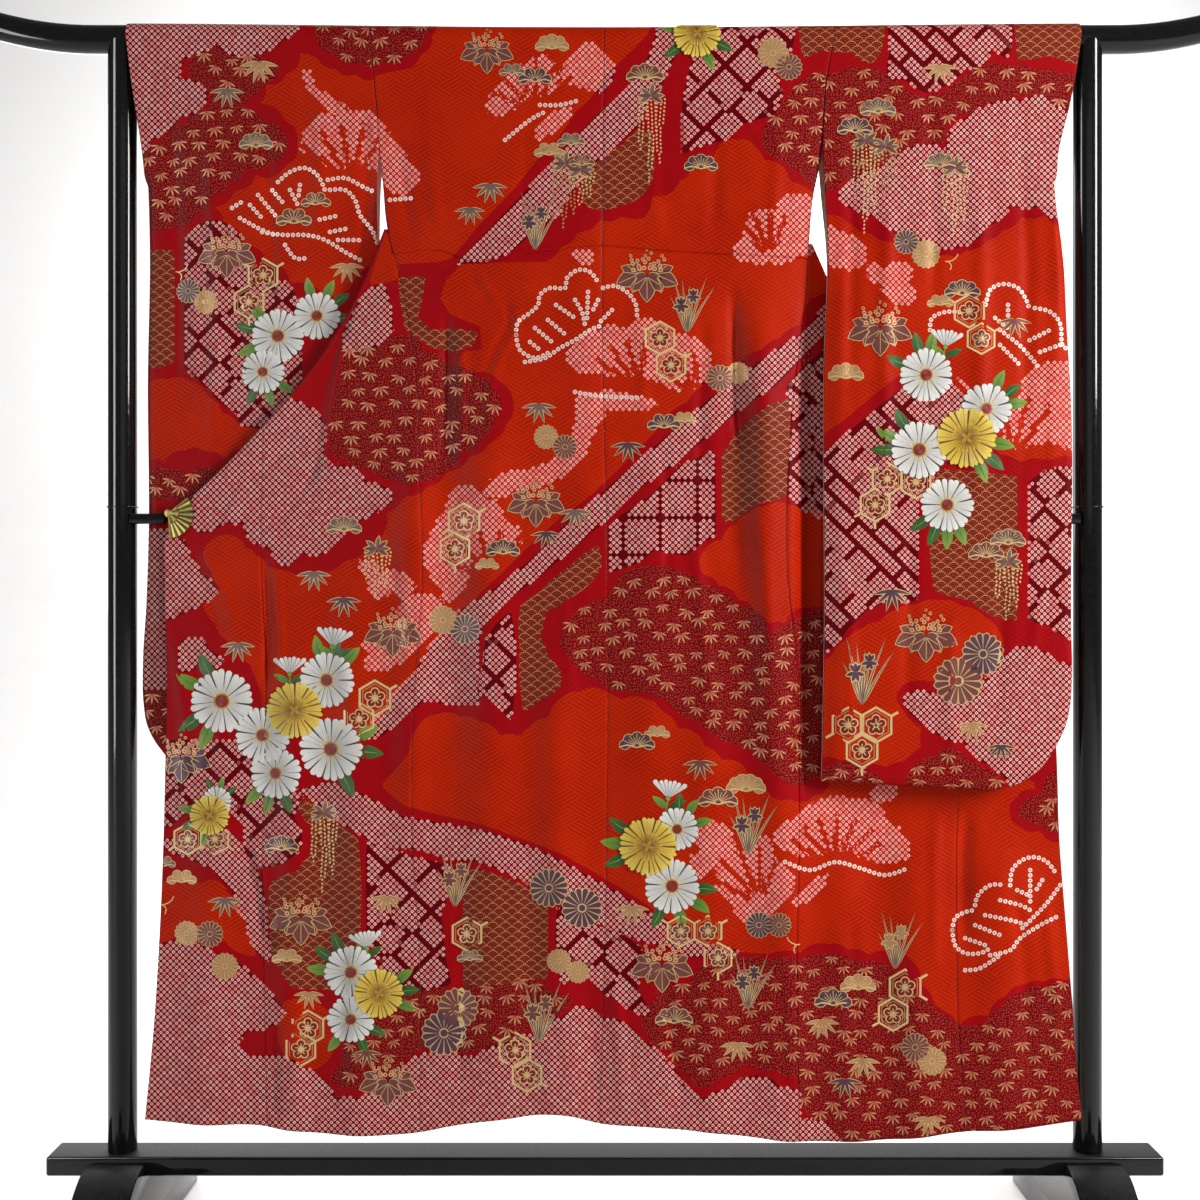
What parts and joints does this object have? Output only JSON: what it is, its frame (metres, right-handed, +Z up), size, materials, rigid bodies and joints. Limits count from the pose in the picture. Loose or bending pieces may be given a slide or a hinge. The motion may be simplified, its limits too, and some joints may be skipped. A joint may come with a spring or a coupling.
{
  "type": "furisode on a kimono stand",
  "caption": "Long-sleeved silk kimono hung open, back to the viewer, over the rail of a free-standing lacquered stand.",
  "frame": {"origin": "on the floor, under the middle of the stand", "axes": "+X along the rail to the viewer's right, +Y away from the viewer who sees the garment's back, +Z up"},
  "size_m": [1.8, 0.46, 1.7568],
  "materials": {
    "silk": "woven silk, soft sheen",
    "lacquer": "gloss black lacquer",
    "brass": "aged, satin",
    "cord": "matt"
  },
  "bodies": {
    "root": {"back_left": "silk", "back_right": "silk", "front_left": "silk", "front_right": "silk", "front_left_inner": "silk", "front_right_inner": "silk", "okumi_left": "silk", "okumi_right": "silk", "sleeve_left": "silk", "sleeve_right": "silk", "collar": "silk", "rail": "lacquer", "base_beam": "lacquer", "post_left": "lacquer", "post_right": "lacquer", "foot_left": "lacquer", "foot_right": "lacquer", "arm_left": "lacquer", "arm_right": "lacquer", "post_ring_left": "cord", "post_ring_right": "cord", "fan_clip_left": "brass", "fan_clip_right": "brass"}
  },
  "joints": []
}
